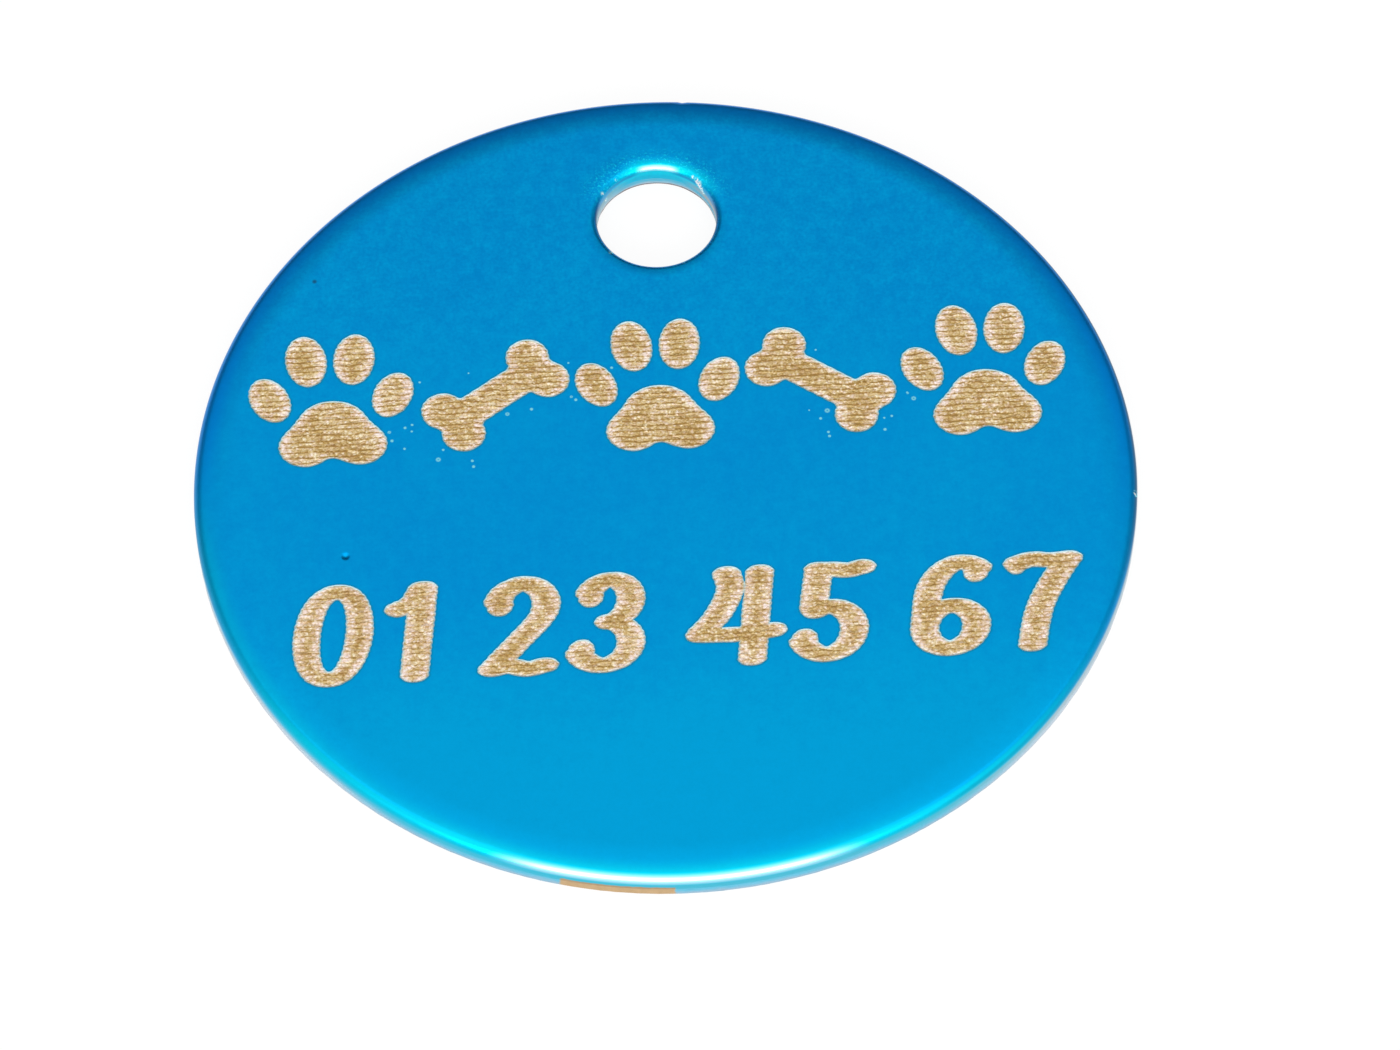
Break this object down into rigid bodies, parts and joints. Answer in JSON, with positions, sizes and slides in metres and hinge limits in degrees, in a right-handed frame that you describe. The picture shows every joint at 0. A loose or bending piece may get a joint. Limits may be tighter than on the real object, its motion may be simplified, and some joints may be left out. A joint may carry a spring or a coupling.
{
  "type": "pet identity tag",
  "caption": "Round pet identity tag stamped from blue anodised aluminium sheet, with a rolled rim, a punched hang hole and an engraved front face.",
  "frame": {"origin": "centre of the flat back face, under the middle of the disc, where the tag lies on a table", "axes": "+Z leaves the engraved front face, +Y runs from the middle of the disc to the hang hole, +X to the right as the front is read"},
  "size_m": [0.032, 0.032, 0.001],
  "materials": {
    "blue_anodised_aluminium": "satin blue anodised film, bare pale metal where it is engraved"
  },
  "bodies": {
    "root": {"tag_disc": "blue_anodised_aluminium"}
  },
  "joints": []
}
